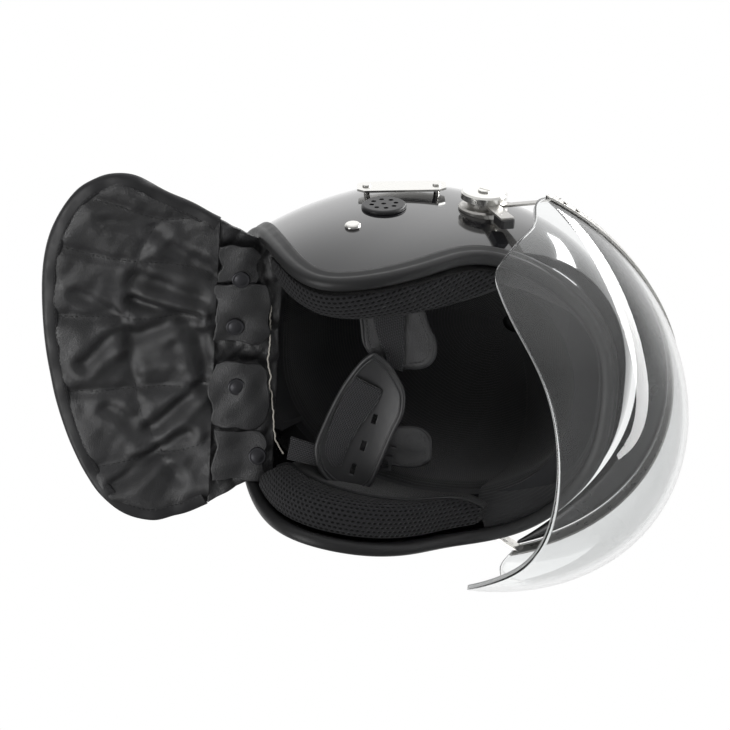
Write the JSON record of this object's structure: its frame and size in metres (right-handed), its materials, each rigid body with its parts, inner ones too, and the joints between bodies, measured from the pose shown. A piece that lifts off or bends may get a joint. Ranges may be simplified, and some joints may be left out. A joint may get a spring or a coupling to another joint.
{
  "type": "police riot helmet",
  "caption": "Hard shell helmet with a clear lifting visor, padded lining, quilted leather neck guard and a chin strap with a leather cup.",
  "frame": {"origin": "middle of the line between the two visor pivots, where the head sits", "axes": "+Z to the crown, -Y to the face, +X to the wearer's left"},
  "size_m": [0.2768, 0.4305, 0.3235],
  "materials": {
    "gloss_shell": "gloss black",
    "rubber": "satin",
    "foam": "matt black foam skin",
    "lining": "ribbed knit",
    "mesh": "air mesh",
    "vent": "satin moulded",
    "chrome": "polished",
    "steel": "satin",
    "lens": "clear polycarbonate",
    "seal": "matt",
    "leather": "grained",
    "binding": "folded tape",
    "snap": "gunmetal",
    "webbing": "woven",
    "cup": "smooth",
    "slide": "moulded"
  },
  "bodies": {
    "helmet": {"shell": "gloss_shell", "edge_trim": "rubber", "foam_liner": "foam", "comfort_lining": "lining", "cheek_pad_right": "mesh", "cheek_pad_left": "mesh", "nape_pad": "mesh", "vent_right": "vent", "vent_left": "vent", "strap_rivets": "chrome", "mask_plate_right": "chrome", "mask_plate_left": "chrome", "mask_plate_rivets": "chrome", "pivot_base_right": "steel", "pivot_base_left": "steel", "pivot_washer_right": "steel", "pivot_washer_left": "steel", "pivot_knob_right": "chrome", "pivot_knob_left": "chrome", "pivot_screws": "chrome"},
    "visor": {"visor_lens": "lens", "visor_band": "steel", "visor_seal": "seal", "band_rivets": "steel", "arm_clip_right": "vent", "arm_clip_left": "vent"},
    "neck_guard": {"neck_strip": "leather", "neck_guard": "leather", "neck_binding": "binding", "neck_tabs": "leather", "snap_caps": "snap"},
    "chin_strap": {"webbing_right": "webbing", "webbing_left": "webbing", "cup_webbing": "webbing", "chin_cup": "cup", "ear_flap_right": "leather", "ear_flap_left": "leather", "strap_slide": "slide"}
  },
  "joints": [
    {"name": "visor_hinge", "type": "hinge", "parent": "helmet", "child": "visor", "pos_m": [0, 0, 0], "axis": [-1, 0, 0], "range_deg": [0, 75]},
    {"name": "neck_guard_fold", "type": "hinge", "parent": "helmet", "child": "neck_guard", "pos_m": [0, 0.107, -0.099], "axis": [-1, 0, 0], "range_deg": [0, 40]},
    {"name": "chin_strap_swing", "type": "hinge", "parent": "helmet", "child": "chin_strap", "pos_m": [0, 0.054, -0.077], "axis": [1, 0, 0], "range_deg": [-20, 25]}
  ]
}
